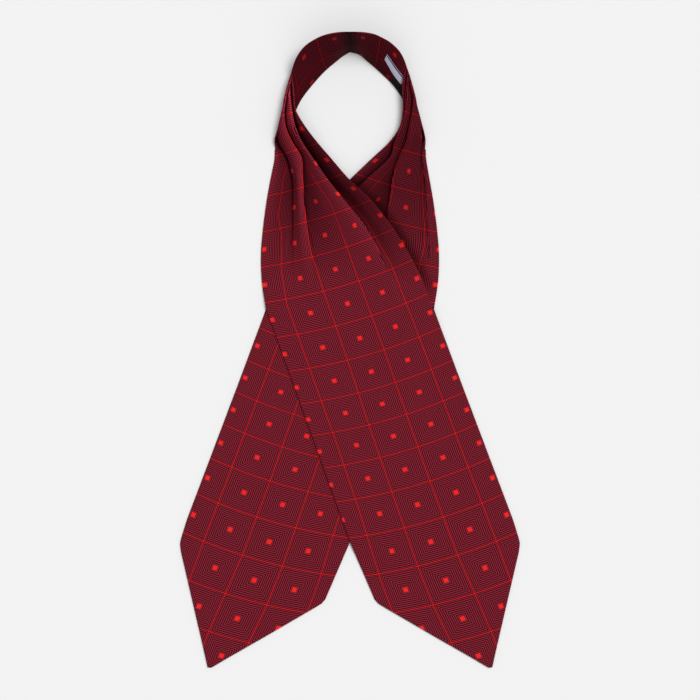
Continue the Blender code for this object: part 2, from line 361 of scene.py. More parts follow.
def new_group(name, kind, inputs, outputs):
    """A node group with named sockets, the wiring in it, what it is given and what it makes."""
    group = bpy.data.node_groups.new(name, kind)
    for direction, sockets in (("INPUT", inputs), ("OUTPUT", outputs)):
        for label, of in sockets:
            group.interface.new_socket(label, in_out=direction, socket_type="NodeSocket" + of)
    wire = Wiring(group)
    given = wire.add("NodeGroupInput").outputs
    made = wire.add("NodeGroupOutput").inputs
    return group, wire, given, made


def window_check():
    """Shader group of the woven check: frames in frames round a little square.

    Each pane has a window line round it.  Inside, thin square frames of red and navy
    threads lie one in another, and a solid square stands at the centre.
    """
    inputs = [("Panes", "Vector")]
    inputs += [(label, "Float") for label, _ in CHECK_SIZES]
    inputs += [(label, "Color") for label, _ in CHECK_COLOURS]
    group, wire, given, made = new_group("window_check", "ShaderNodeTree", inputs,
                                         [("Colour", "Color"), ("Height", "Float")])
    split = wire.add("ShaderNodeSeparateXYZ")
    wire.give(given["Panes"], split.inputs[0])
    offsets = []
    for axis in (0, 1):
        wrapped = wire.math("FRACT", split.outputs[axis])
        offsets.append(wire.math("ABSOLUTE", wire.math("SUBTRACT", wrapped, 0.5)))
    ring = wire.math("MAXIMUM", *offsets)

    turns = wire.math("DIVIDE", ring, given["Frame spacing"])
    wave = wire.math("SINE", wire.math("MULTIPLY", turns, 2 * pi))
    frames = wire.math("MULTIPLY_ADD", wave, 1.2, 0.5, clamp=True)
    guard = wire.math("GREATER_THAN", ring, wire.math("SUBTRACT", 0.5, given["Line guard"]))
    navy = wire.math("MAXIMUM", frames, guard)
    ground = wire.blend(navy, given["Ground red"], given["Ground navy"])

    line_from = wire.math("SUBTRACT", 0.5, given["Line half width"])
    on_line = wire.math("GREATER_THAN", ring, line_from)
    in_square = wire.math("LESS_THAN", ring, given["Square half width"])
    lined = wire.blend(on_line, ground, given["Line red"])
    wire.give(wire.blend(in_square, lined, given["Figure red"]), made["Colour"])
    raised = wire.math("MAXIMUM", wire.math("SUBTRACT", 1.0, navy), in_square)
    wire.give(raised, made["Height"])
    return group


def fine_twill():
    """Shader group of the silk threads: the height of their fine slanting ribs."""
    group, wire, given, made = new_group("fine_twill", "ShaderNodeTree",
                                         [("Panes", "Vector"), ("Ribs in a pane", "Float")],
                                         [("Height", "Float")])
    split = wire.add("ShaderNodeSeparateXYZ")
    wire.give(given["Panes"], split.inputs[0])
    slant = wire.math("ADD", split.outputs[0], split.outputs[1])
    wire.give(wire.ribs(slant, given["Ribs in a pane"]), made["Height"])
    return group


check_group = window_check()
twill_group = fine_twill()


def woven_silk(name):
    """Material of the checked silk, its colour scaled by painted light and shade: dark in the
    folds, light on their crests.
    """
    material, tree, shader = new_material(name, 0.45)
    wire = Wiring(tree)
    place = wire.add("ShaderNodeUVMap", uv_map="panes")
    check = wire.add("ShaderNodeGroup", node_tree=check_group)
    wire.give(place.outputs[0], check.inputs["Panes"])
    for label, value in (*CHECK_SIZES, *CHECK_COLOURS):
        wire.give(value, check.inputs[label])
    # Painted light and shade, dark in the folds and light on their crests, scales the check's
    # colour.
    shading_node = wire.add("ShaderNodeAttribute", attribute_name="painted_light_and_shade")
    shaded_check = wire.add("ShaderNodeVectorMath", operation="SCALE")
    wire.give(check.outputs["Colour"], shaded_check.inputs[0])
    wire.give(shading_node.outputs["Fac"], shaded_check.inputs["Scale"])
    wire.give(shaded_check.outputs[0], shader["Base Color"])

    twill = wire.add("ShaderNodeGroup", node_tree=twill_group)
    wire.give(place.outputs[0], twill.inputs["Panes"])
    wire.give(RIBS_IN_A_PANE, twill.inputs["Ribs in a pane"])
    relief = wire.math("MULTIPLY_ADD", twill.outputs["Height"], 0.4, check.outputs["Height"])
    wire.raise_surface(relief, 0.25, 0.0001, shader)

    shader["Specular IOR Level"].default_value = 0.012
    shader["Specular Tint"].default_value = (1.0, 0.30, 0.33, 1.0)
    return material


def band_grid(table, side, panes_column):
    """Middle surface, check and painted shade of one band, from the centre seam to the turn."""
    rows = smooth_rows(table, BAND_STEPS)
    top = rows[:, 0:2] * (side, 1)
    low = rows[:, 2:4] * (side, 1)
    share = np.linspace(0.0, 1.0, BAND_ACROSS + 1)
    plan = mix(top[:, None, :], low[:, None, :], share[None, :, None])
    stand = np.interp(share, *np.array(BAND_STAND).T)
    height = BAND_CLOTH / 2 + BAND_RISE * rows[:, 4:5] * stand[None, :]
    points = np.concatenate([plan, height[..., None]], axis=2)

    step = np.linalg.norm(np.diff(top, axis=0), axis=1)
    from_seam = np.concatenate([[0.0], np.cumsum(step)])
    panes_at = np.array(BAND_PANES)
    along = np.interp(from_seam, panes_at[:, 0], panes_at[:, panes_column])
    shares, panes = np.array(BAND_PANES_ACROSS).T
    across = np.interp(share, shares, panes)
    check = np.stack(np.broadcast_arrays(across[None, :], along[:, None]), axis=2).copy()
    slant = BAND_SLANT[panes_column - 1]
    check[..., 1] -= slant * share[None, :] * np.minimum(along[:, None], 1.0)
    if side < 0:
        near_seam = 1 - ease((along - 0.5) / 0.8)
        check[..., 0] -= SEAM_SWING * near_seam[:, None] * ease((share - 0.3) / 0.6)[None, :]
    # Painted shade: darker on the inner face, near the seam and towards the lower edge.
    light = BAND_PAINTED_SHADE * mix(SEAM_PAINTED_SHADE, 1.0, ease(from_seam / SEAM_REACH))[:, None]
    return points, check, light * mix(1.0, LOWER_PAINTED_SHADE, share)[None, :]


silk = woven_silk("checked_silk")
band_points = {}
for name, table, side, column in (("neckband_left", BAND_LEFT, -1, 1),
                                  ("neckband_right", BAND_RIGHT, 1, 2)):
    points, check, light = band_grid(table, side, column)
    points[0, :, 0] = side * (BAND_CLOTH / 2 - SEAM_OVERLAP)
    band_points[name] = points
    band = cloth_wall(name + "_cloth", points, check, light, BAND_CLOTH, silk)
    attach(band, "root")
    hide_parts(name)


# ---------------------------------------------------------------------------------------
# The labels: a pale woven one and a narrow black one for the washing signs.  Both are
# satin ribbon, sewn flat on the inside of the right band, and both are bare.
# ---------------------------------------------------------------------------------------
LABEL_CLOTH = 0.5
LABEL_GAP = 0.25

# Where their edges lie on the right band: how far along it, counted in rows of its table,
# and across it, as shares of its width from the top edge.
LABEL = (
    # along, upper edge, lower edge
    (3.95, 0.365, 0.555),
    (4.45, 0.42, 0.625),
    (5.0, 0.46, 0.69),
    (5.7, 0.44, 0.71),
    (6.5, 0.34, 0.66),
)
CARE_LABEL = (
    # along, upper edge, lower edge
    (5.5, 0.80, 0.96),
    (6.0, 0.77, 0.97),
    (7.0, 0.72, 0.97),
    (7.5, 0.70, 0.96),
)
LABELS = (
    # name, edges, slot, cut and area of what shows, in metres; then the colours of its
    # ground and border, the share of its width that the border takes, and its thread
    ("label", LABEL, "label_satin", (0.010, 0.028), 0.00025,
     (0.42, 0.42, 0.54), (0.012, 0.012, 0.010), 0.20, (0.34, 0.34, 0.44)),
    ("care_label", CARE_LABEL, "care_satin", (0.010, 0.014), 0.00010,
     (0.004, 0.004, 0.005), (0.012, 0.012, 0.013), 0.12, (0.030, 0.030, 0.032)),
)
LABEL_STEPS = 8            # sections made between two rows of a table
LABEL_ACROSS = 8
BORDER_FROM = 0.0          # of the ribbon's width; the rim outside it stays plain
RIBS_ACROSS = 36.0
STITCH_SPACING = 1.6
STITCH_LENGTH = 1.0
STITCH_STAND = 0.03        # of the thread's middle over the ribbon's face
THREAD_RADIUS = 0.16
PLY_PAINTED_SHADE = 0.6         # painted shade of the plies where they turn under
PLIES_IN_A_METRE = 1200.0


def ribbon_weave():
    """Shader group of a woven ribbon: where its border runs and how high its ribs stand."""
    group, wire, given, made = new_group(
        "ribbon_weave", "ShaderNodeTree",
        [("Ribbon", "Vector"), ("Border from", "Float"), ("Border to", "Float"),
         ("Ribs across", "Float")],
        [("Border", "Float"), ("Height", "Float")])
    split = wire.add("ShaderNodeSeparateXYZ")
    wire.give(given["Ribbon"], split.inputs[0])
    across = split.outputs[0]
    past = wire.math("GREATER_THAN", across, given["Border from"])
    before = wire.math("LESS_THAN", across, given["Border to"])
    wire.give(wire.math("MULTIPLY", past, before), made["Border"])
    wire.give(wire.ribs(across, given["Ribs across"]), made["Height"])
    return group


def satin(name, ground, border, border_width):
    """Material of a satin ribbon with a border woven along its upper edge."""
    material, tree, shader = new_material(name, 0.5)
    wire = Wiring(tree)
    place = wire.add("ShaderNodeUVMap", uv_map="panes")
    weave = wire.add("ShaderNodeGroup", node_tree=ribbon_group)
    wire.give(place.outputs[0], weave.inputs["Ribbon"])
    wire.give(BORDER_FROM, weave.inputs["Border from"])
    wire.give(border_width, weave.inputs["Border to"])
    wire.give(RIBS_ACROSS, weave.inputs["Ribs across"])
    wire.give(wire.blend(weave.outputs["Border"], (*ground, 1.0), (*border, 1.0)),
              shader["Base Color"])
    wire.raise_surface(weave.outputs["Height"], 0.3, 0.00005, shader)
    shader["Specular IOR Level"].default_value = 0.08
    return material


def ribbon_grid(table, band):
    """Middle surface of a ribbon that lies on a band's inner face, with its own measures."""
    stand = BAND_CLOTH / 2 + LABEL_GAP + LABEL_CLOTH / 2
    shares = np.linspace(0.0, 1.0, LABEL_ACROSS + 1)
    facing = sheet_facing(band)
    points, measures = [], []
    for along, upper, lower in smooth_rows(table, LABEL_STEPS):
        row, past_row = divmod(along * BAND_STEPS, 1)
        row = int(row)
        line = []
        for share in shares:
            column, past_column = divmod(mix(upper, lower, share) * BAND_ACROSS, 1)
            column = int(column)
            place, outward = [mix(mix(grid[row, column], grid[row, column + 1], past_column),
                                  mix(grid[row + 1, column], grid[row + 1, column + 1],
                                      past_column), past_row)
                              for grid in (band, facing)]
            line.append(place + stand * unit(outward))
        points.append(line)
        measures.append([(share, along) for share in shares])
    return np.array(points), np.array(measures)


def stitch_row():
    """Geometry Nodes tree that sews short stitches along a line of edges."""
    tree, wire, given, made = new_group(
        "stitch_row", "GeometryNodeTree",
        [("Line", "Geometry"), ("Stitch spacing", "Float"), ("Stitch length", "Float"),
         ("Thread radius", "Float"), ("Thread", "Material")],
        [("Stitches", "Geometry")])
    path = wire.add("GeometryNodeMeshToCurve")
    wire.give(given["Line"], path.inputs["Mesh"])
    spaced = wire.add("GeometryNodeResampleCurve", mode="LENGTH")
    wire.give(path.outputs["Curve"], spaced.inputs["Curve"])
    wire.give(given["Stitch spacing"], spaced.inputs["Length"])
    turned = wire.add("FunctionNodeAlignRotationToVector", axis="Z")
    wire.give(wire.add("GeometryNodeInputTangent").outputs[0], turned.inputs["Vector"])
    stitch = wire.add("GeometryNodeMeshUVSphere")
    stitch.inputs["Segments"].default_value = 8
    stitch.inputs["Rings"].default_value = 6
    stitch.inputs["Radius"].default_value = 1.0
    size = wire.add("ShaderNodeCombineXYZ")
    wire.give(given["Thread radius"], size.inputs["X"])
    wire.give(given["Thread radius"], size.inputs["Y"])
    wire.give(wire.math("MULTIPLY", given["Stitch length"], 0.5), size.inputs["Z"])
    sewn = wire.add("GeometryNodeInstanceOnPoints")
    wire.give(spaced.outputs["Curve"], sewn.inputs["Points"])
    wire.give(stitch.outputs["Mesh"], sewn.inputs["Instance"])
    wire.give(turned.outputs["Rotation"], sewn.inputs["Rotation"])
    wire.give(size.outputs[0], sewn.inputs["Scale"])
    real = wire.add("GeometryNodeRealizeInstances")
    wire.give(sewn.outputs["Instances"], real.inputs["Geometry"])
    coloured = wire.add("GeometryNodeSetMaterial")
    wire.give(real.outputs["Geometry"], coloured.inputs["Geometry"])
    wire.give(given["Thread"], coloured.inputs["Material"])
    wire.give(coloured.outputs["Geometry"], made["Stitches"])
    return tree


def sew(name, lines, thread):
    """Stitches along lines of points, as one plain mesh."""
    vertices, edges = [], []
    for line in lines:
        start = len(vertices)
        vertices += [tuple(float(part) * MM for part in point) for point in line]
        edges += [(start + k, start + k + 1) for k in range(len(line) - 1)]
    mesh = bpy.data.meshes.new(name + "_lines")
    mesh.from_pydata(vertices, edges, [])
    guide = put_in_scene(name + "_lines", mesh)
    modifier = guide.modifiers.new("stitch_row", "NODES")
    modifier.node_group = stitch_tree
    values = {"Stitch spacing": STITCH_SPACING * MM, "Stitch length": STITCH_LENGTH * MM,
              "Thread radius": THREAD_RADIUS * MM, "Thread": thread}
    for item in stitch_tree.interface.items_tree:
        if item.in_out == "INPUT" and item.name in values:
            modifier[item.identifier] = values[item.name]
    evaluated = guide.evaluated_get(bpy.context.evaluated_depsgraph_get())
    made = bpy.data.meshes.new_from_object(evaluated)
    guide.modifiers.remove(modifier)
    bpy.data.objects.remove(guide)
    made.polygons.foreach_set("use_smooth", [True] * len(made.polygons))
    made.name = name
    return put_in_scene(name, made)


def twisted_thread(name, colour):
    """Material of sewing thread, with painted shade where its plies turn under."""
    material, tree, shader = new_material(name, 0.6)
    wire = Wiring(tree)
    place = wire.add("ShaderNodeTexCoord")
    plies = wire.add("ShaderNodeTexWave", bands_direction="DIAGONAL")
    wire.give(PLIES_IN_A_METRE, plies.inputs["Scale"])
    wire.give(place.outputs["Object"], plies.inputs["Vector"])
    shade = tuple(part * PLY_PAINTED_SHADE for part in colour)
    wire.give(wire.blend(plies.outputs["Fac"], (*shade, 1.0), (*colour, 1.0)),
              shader["Base Color"])
    wire.raise_surface(plies.outputs["Fac"], 0.4, 0.00005, shader)
    return material


ribbon_group = ribbon_weave()
stitch_tree = stitch_row()
for name, table, slot, cut, area, ground, border, border_width, thread_colour in LABELS:
    points, measures = ribbon_grid(table, band_points["neckband_right"])
    material = satin(name + "_satin", ground, border, border_width)
    ribbon = cloth_wall(name + "_ribbon", points, measures, 1.0, LABEL_CLOTH, material)
    thread = twisted_thread(name + "_thread", thread_colour)
    raised = points + sheet_facing(points) * (LABEL_CLOTH / 2 + STITCH_STAND)
    ends = [raised[2, 1:-1], raised[-3, 1:-1]]
    stitches = sew(name + "_stitches", ends, thread)
    for piece in (ribbon, stitches):
        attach(piece, "root")
    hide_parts(name)


# ---------------------------------------------------------------------------------------
# The lower half: one length of doubled silk with its edges turned in.  At the front of the
# neck it lies in pressed pleats, which open towards a wide pointed blade.
# ---------------------------------------------------------------------------------------
NECK_CLOTH = 1.2
BLADE_CLOTH = 1.4
FRONT_LIFT = (             # of the front of the neck, over the band that turns in
    # y, height
    (266.0, 8.8), (262.0, 7.6), (250.0, 5.6), (238.0, 4.6), (226.0, 4.0), (211.0, 3.5),
    (202.0, 3.4), (196.0, 1.8), (190.0, 0.0),
)
NECK_STEPS = 6             # sections made between two rows of a table
CURVE_STEPS = 6            # points made between two control points of a section
BLADE_SPACING = 4.0        # between sections of the blade
FOLD_SPAN = 1.1            # reach of a fold's rounding along the cloth
OPEN_SPANS = 5.5           # reach of the step that an open fold leaves, in such spans
COVER = 5.0                # most that a pleat covers of the next
HIDDEN_SHARE = 0.7         # of that cover, the part that hides some of the check
PITCH = 35.7               # width of a pane

# A row is a section across the neck at one y.  Places are distances from the centre line:
# outer edge, three folds, neck-hole edge.  Then come the pleats' height and how far each
# fold is shut, from 0, open, to 1.  The upper neck is here too, because its edge throws a
# painted shadow on the lower half.
OVER_NECK = (
    # y, outer, fold_c, fold_b, fold_a, inner, height, shut_c, shut_b, shut_a
    (258.5, 56.1, 55.9, 55.7, 55.4, 54.9, 1.0, 0.0, 0.0, 0.5),
    (250.0, 58.3, 58.0, 57.7, 56.8, 53.3, 3.6, 0.0, 0.3, 1.0),
    (238.0, 61.5, 61.0, 60.6, 56.3, 52.1, 4.8, 0.0, 0.8, 1.0),
    (226.0, 64.2, 63.6, 62.2, 55.0, 50.8, 5.6, 0.4, 1.0, 1.0),
    (211.0, 67.8, 66.9, 61.2, 52.1, 42.2, 5.8, 1.0, 1.0, 1.0),
    (196.0, 71.4, 66.7, 55.1, 45.3, 30.8, 6.0, 1.0, 1.0, 1.0),
    (181.0, 71.1, 58.5, 46.2, 35.4, 17.9, 6.2, 0.9, 0.9, 1.0),
    (161.0, 75.0, 53.5, 45.0, 21.5, 0.6, 6.4, 0.6, 0.7, 0.9),
    (140.0, 78.7, 53.0, 43.6, 4.7, -21.3, 6.0, 0.5, 0.5, 0.7),
    (115.0, 82.0, 52.8, 41.0, -15.1, -40.5, 5.0, 0.4, 0.3, 0.7),
    (90.0, 84.0, 52.0, 36.8, -28.3, -56.1, 3.6, 0.2, 0.1, 0.5),
    (65.0, 83.1, 50.0, 32.0, -38.0, -68.4, 1.6, 0.0, 0.0, 0.2),
    (39.0, 79.2, 46.0, 26.0, -46.0, -79.0, 0.0, 0.0, 0.0, 0.0),
)
UNDER_NECK = (
    # y, outer, fold_c, fold_b, fold_a, inner, height, shut_c, shut_b, shut_a
    (265.0, 53.6, 53.4, 53.1, 52.7, 51.9, 1.0, 0.0, 0.0, 0.5),
    (259.0, 55.6, 55.3, 55.0, 53.9, 50.4, 2.6, 0.0, 0.3, 0.9),
    (250.0, 58.2, 57.8, 57.1, 53.2, 49.2, 4.0, 0.0, 0.5, 1.0),
    (238.0, 61.3, 60.9, 59.6, 52.4, 49.4, 4.6, 0.0, 0.9, 1.0),
    (226.0, 64.6, 63.8, 58.9, 51.9, 49.4, 5.0, 0.4, 1.0, 1.0),
    (211.0, 68.5, 66.4, 56.2, 48.2, 46.8, 5.2, 1.0, 1.0, 1.0),
    (196.0, 71.6, 67.3, 53.3, 42.0, 36.9, 5.2, 1.0, 1.0, 1.0),
    (181.0, 71.8, 65.8, 46.2, 37.2, 20.9, 5.0, 0.4, 0.9, 1.0),
    (161.0, 75.1, 66.4, 40.3, 16.0, 0.0, 4.4, 0.1, 0.6, 0.9),
    (140.0, 78.7, 67.0, 37.5, -4.7, -21.3, 2.6, 0.0, 0.3, 0.6),
    (115.0, 82.0, 67.2, 35.0, -15.1, -40.5, 1.4, 0.0, 0.1, 0.2),
    (90.0, 84.0, 67.4, 32.0, -28.3, -56.1, 0.6, 0.0, 0.0, 0.0),
    (65.0, 83.1, 58.0, 29.0, -38.0, -68.4, 0.2, 0.0, 0.0, 0.0),
    (39.0, 79.2, 46.0, 26.0, -46.0, -79.0, 0.0, 0.0, 0.0, 0.0),
)

# Heights up the neck over which one thing gives way to another: y, and how much farther.
PRESSED_FROM = (20.0, 80.0)        # the cloth is pressed thinner
UNDER_FOLDS_FROM = (60.0, 50.0)    # the pleats hide some of the check
EDGE_TURNS_OVER = (186.0, 14.0)    # the outer edge rounds under, over the band
SIDE_LIGHT_FROM = (200.0, 26.0)    # the painted light of the side of the neck takes over
EVEN_BLADE = (39.0, 120.0)         # down from this y, the blade's points become even

# Where the folds come in the check, in panes across, each side of what a fold hides.
UNDER_FOLD_PANES = (
    # y, outer, c_in, c_out, b_in, b_out, a_in, a_out, inner
    (266.0, -1.45, -1.42, -0.15, 0.0, 1.20, 1.30, 2.45, 2.62),
    (226.0, -1.45, -1.38, -0.30, 0.0, 1.10, 1.35, 2.50, 2.62),
    (196.0, -1.45, -1.32, -0.50, 0.0, 1.05, 1.35, 2.40, 2.62),
    (181.0, -1.42, -1.10, -0.80, 0.0, 0.90, 1.40, 2.15, 2.62),
    (161.0, -1.42, -1.10, -1.00, 0.0, 0.65, 1.45, 2.05, 2.62),
    (140.0, -1.45, -1.05, -1.05, 0.0, 0.20, 1.60, 1.96, 2.62),
    (115.0, -1.48, -1.00, -1.00, -0.1, -0.1, 1.78, 1.85, 2.62),
)

FOLD_MARKS = (0, 6, 9, 13, 16, 20, 23, 26)     # the control points at those places

# Painted light and shade across the pleats, a factor on the silk's colour that is dark in
# the folds and light on their crests, by the place along the section's control points, and how
# much of that shows at each y.
UNDER_PAINTED_LIGHT = (
    # place, at the side of the neck, lower down
    (0, 0.80, 0.78), (3, 0.80, 0.78), (4, 0.70, 0.62), (6, 0.40, 0.42), (8, 0.35, 0.40),
    (9, 0.45, 0.46), (10, 0.52, 0.52), (11, 0.56, 0.54), (12, 0.62, 0.60), (13, 0.70, 0.72),
    (14, 0.10, 0.10), (17, 0.45, 0.25), (18, 0.58, 0.46), (19, 0.64, 0.60), (20, 0.62, 0.58),
    (21, 0.10, 0.10), (24, 0.20, 0.12), (25, 0.80, 0.45), (26, 0.85, 0.75),
)
PAINTED_LIGHT_SHARE = (
    # y, share
    (266.0, 1.0), (155.0, 1.0), (137.0, 0.85), (113.0, 0.60), (90.0, 0.30), (65.0, 0.0),
)
EDGE_SHADE = 0.62          # painted shadow on the lower half along the edge of the upper one
EDGE_REACH = 6.5
EDGE_SHADE_FROM = (45.0, 30.0)     # it is whole this much farther up
EDGE_SHADE_TO = (178.0, 20.0)      # and down from here by this much
GROOVE_SHADE = 0.94        # of the painted shade beside a shut fold, which is nearly black
GROOVE_WIDTH = 1.4         # over which it fades
UNDER_GROOVE = 0.9         # from the fold's edge to where it starts to fade
GROOVES = (
    # column of the fold's place, of how far it is shut, the side that it faces, and
    # the control points that its painted shade lies between
    (2, 7, -1, 3, 8),
    (3, 8, 1, 15, 18.5),
    (4, 9, 1, 22, 25.5),
)

# The blade that ends on the right; the other is its mirror image.
BLADE = (
    # y, near, far
    (38.7, -79.1, 79.1),
    (-25.0, -56.2, 102.8),
    (-100.0, -29.3, 131.1),
    (-160.0, -7.7, 153.8),
    (-181.0, 0.0, 160.3),
    (-189.0, 3.4, 159.6),
    (-236.5, 23.8, 148.6),
    (-239.6, 27.3, 147.9),
    (-270.0, 79.5, 140.8),
    (-292.0, 118.0, 135.8),
    (-298.6, 129.0, 134.6),
    (-299.9, 131.4, 133.4),
)

# The grain of the blade that ends on the right, and its check.  Whole panes along it by
# distance down the grain, and the distance across it of four lengthwise lines.
GRAIN = (0.355, -0.935)
PANES_ALONG = (
    # distance, panes
    (-268.0, -9.0), (-228.0, -8.0), (-193.0, -7.0), (-157.5, -6.0), (-125.0, -5.0),
    (-91.5, -4.0), (-57.5, -3.0), (-22.5, -2.0), (11.7, -1.0), (44.4, 0.0), (76.2, 1.0),
    (108.8, 2.0), (143.0, 3.0), (179.2, 4.0), (217.6, 5.0), (257.0, 6.0), (296.0, 7.0),
    (333.0, 8.0),
)
CHECK_BOW = 0.00098        # of the crosswise lines, by the square of the distance across
BOW_CENTRE = 55.0          # from here
LENGTHWISE_LINES = (
    # distance down the grain, then across it: lines -1, 0, 1 and 2
    (-128.0, -19.7, 3.0, 31.5, 56.0),
    (-95.0, -33.5, -2.2, 32.0, 59.0),
    (-62.0, -40.4, -3.6, 31.0, 65.0),
    (6.0, -41.8, -5.5, 30.2, 65.3),
    (72.0, -42.9, -8.5, 28.4, 65.2),
    (140.0, -45.4, -10.6, 26.6, 64.9),
    (214.0, -50.0, -12.7, 26.2, 65.1),
    (255.0, -50.0, -12.0, 28.3, 64.6),
    (295.0, -48.0, -8.4, 30.3, 66.0),
)


def between(y, stretch):
    """Go smoothly from 0 to 1 as y climbs a stretch, given as its start and its height."""
    return ease((y - stretch[0]) / stretch[1])


def check_of_blade(x, y):
    """Place in the woven check, in panes across and along, of points on the right blade."""
    down = x * GRAIN[0] + y * GRAIN[1]
    across = -x * GRAIN[1] + y * GRAIN[0]
    places, panes = np.array(PANES_ALONG).T
    along = np.interp(down + CHECK_BOW * (across - BOW_CENTRE) ** 2, places, panes)
    lines = np.array(LENGTHWISE_LINES)
    at = [np.interp(down, lines[:, 0], lines[:, k]) for k in range(1, 5)]
    at = [at[0] - PITCH] + at + [at[-1] + PITCH]
    width = np.full(np.shape(x), -2.0)
    for start, end in zip(at, at[1:]):
        width = width + np.clip((across - start) / (end - start), 0.0, 1.0)
    width = np.where(across < at[0], -2.0 + (across - at[0]) / PITCH, width)
    return width, along


def fold_points(edge, room, beyond, top, bottom, shut, sign):
    """Six places round one knife pleat, as (distance from the centre, height).

    The cloth comes to an edge at a height, turns back under it and turns again to go on
    below.  Where the fold isn't shut it is only a step.  room is the width of the strip
    that it turns back under, and beyond that of the strip on the other side.
    """
    cover = min(COVER, 0.7 * room)
    span = min(FOLD_SPAN, 0.3 * room, 0.25 * beyond)
    bend = np.minimum(NECK_CLOTH / 2 + 0.05, np.maximum(np.abs(top - bottom), 0.2) / 4) * shut
    reach = sign * span * (2 * shut - 1)
    inner = edge + sign * mix(-min(OPEN_SPANS * span, 0.8 * beyond), cover, shut)
    span = sign * span
    return [(edge + span, top), (edge, top - bend), (edge + reach, top - 2 * bend),
            (inner - reach, bottom + 2 * bend), (inner, bottom + bend), (inner - span, bottom)]


def neck_profile(row, lift, turn):
    """Control points across one neck, as (distance from the centre, height).

    They go by shares of a strip's width and of the pleats' height h.  turn is how far the
    outer edge has come down to the table.
    """
    _, outer, c, b, a, inner, h, shut_c, shut_b, shut_a = row
    base = lift + NECK_CLOTH / 2
    table = NECK_CLOTH / 2
    rim = min(0.6, 0.4 * (outer - inner))
    points = [(mix(outer, outer - 3.0, turn), mix(base, table, turn)),
              (mix(outer - 0.7, outer - rim, turn), mix(base, table, turn)),
              (mix(outer - 1.4, outer, turn), mix(base, (base + table) / 2, turn)),
              (mix(outer - 2.1, outer - rim, turn), mix(base, base + 0.3 * h, turn)),
              (mix(outer, c, 0.55), base + 0.25 * h)]
    top_c = base + mix(0.25, 0.72, shut_c) * h
    points += fold_points(c, c - b, outer - c, top_c, base, shut_c, -1)[::-1]
    points.append((mix(c, b, 0.55), base + 0.98 * h))
    points += fold_points(b, c - b, b - a, base + h, base + 0.22 * h, shut_b, 1)
    points.append((mix(b, a, 0.5), base + 0.55 * h))
    top_a = base + mix(0.55, 0.9, shut_a) * h
    points += fold_points(a, b - a, a - inner, top_a, base, shut_a, 1)
    points.append((mix(a, inner, 0.55), base + 0.4 * h))
    points.append((inner, base + 0.7 * h))
    return np.array(points)


def curve_through(controls, steps):
    """Points on a smooth curve through control points."""
    gap = np.maximum(np.linalg.norm(np.diff(controls, axis=0), axis=1), 1e-4)
    slope = np.diff(controls, axis=0) / gap[:, None]
    lean = np.empty_like(controls)
    lean[0], lean[-1] = slope[0], slope[-1]
    weight = gap[1:, None] / (gap[1:] + gap[:-1])[:, None]
    lean[1:-1] = weight * slope[:-1] + (1 - weight) * slope[1:]
    made = []
    for k in range(len(gap)):
        for step in range(steps):
            t = step / steps
            made.append((2 * t ** 3 - 3 * t ** 2 + 1) * controls[k]
                        + (t ** 3 - 2 * t ** 2 + t) * gap[k] * lean[k]
                        + (3 * t ** 2 - 2 * t ** 3) * controls[k + 1]
                        + (t ** 3 - t ** 2) * gap[k] * lean[k + 1])
    made.append(controls[-1])
    return np.array(made)


def at_height(table, y):
    """The columns of a table that runs down the neck, at one y."""
    table = np.array(table)[::-1]
    return [np.interp(y, table[:, 0], column) for column in table[:, 1:].T]


def neck_rows(neck):
    """Sections down a neck, moved in at both edges by half the cloth that goes round them."""
    rows = smooth_rows(neck, NECK_STEPS)
    inset = np.minimum(1.0, (rows[:, 1] - rows[:, 5]) / 4) * NECK_CLOTH / 2
    rows[:, 1] -= inset
    rows[:, 5] += inset * np.hypot(1.0, np.gradient(rows[:, 5], rows[:, 0]))
    return rows


def folded_check(row, section, fold_panes):
    outer, c_in, c_out, b_in, b_out, a_in, a_out, inner = at_height(fold_panes, row[0])
    under_c, under_b, under_a = COVER / PITCH * HIDDEN_SHARE * row[7:10]
    panes = [outer, c_in + under_c, c_out, b_in, b_out - under_b, a_in, a_out - under_a, inner]
    step = np.linalg.norm(np.diff(section, axis=0), axis=1)
    length = np.concatenate([[0.0], np.cumsum(step)])
    at = [length[mark * CURVE_STEPS] for mark in FOLD_MARKS]
    for k, shut in ((1, row[7]), (3, row[8]), (5, row[9])):
        slope = (panes[k + 2] - panes[k - 1]) / (at[k + 2] - at[k - 1])
        middle = (panes[k] + panes[k + 1]) / 2
        reach = slope * (at[k + 1] - at[k]) / 2
        closed = min(1.0, 1.3 * shut)
        panes[k] = mix(middle - reach, panes[k], closed)
        panes[k + 1] = mix(middle + reach, panes[k + 1], closed)
    return np.interp(length, at, panes)


def pleat_light(row, section, painted_light_and_shade, groove_floor):
    """Painted light and shade across a neck's section, painted dark in the grooves beside shut
    folds.
    """
    y = row[0]
    places, at_side, lower_down = np.array(painted_light_and_shade).T
    levels = mix(lower_down, at_side, between(y, SIDE_LIGHT_FROM))
    control = np.arange(len(section)) / CURVE_STEPS
    level = np.interp(control, places, levels)
    for fold, shut, sign, start, end in GROOVES:
        beyond = np.maximum(sign * (row[fold] - section[:, 0]) - groove_floor, 0.0)
        groove = GROOVE_SHADE * row[shut] ** 2 * np.exp(-(beyond / GROOVE_WIDTH) ** 2)
        level = np.where((control >= start) & (control <= end), level * (1 - groove), level)
    return mix(1.0, level, *at_height(PAINTED_LIGHT_SHARE, y))


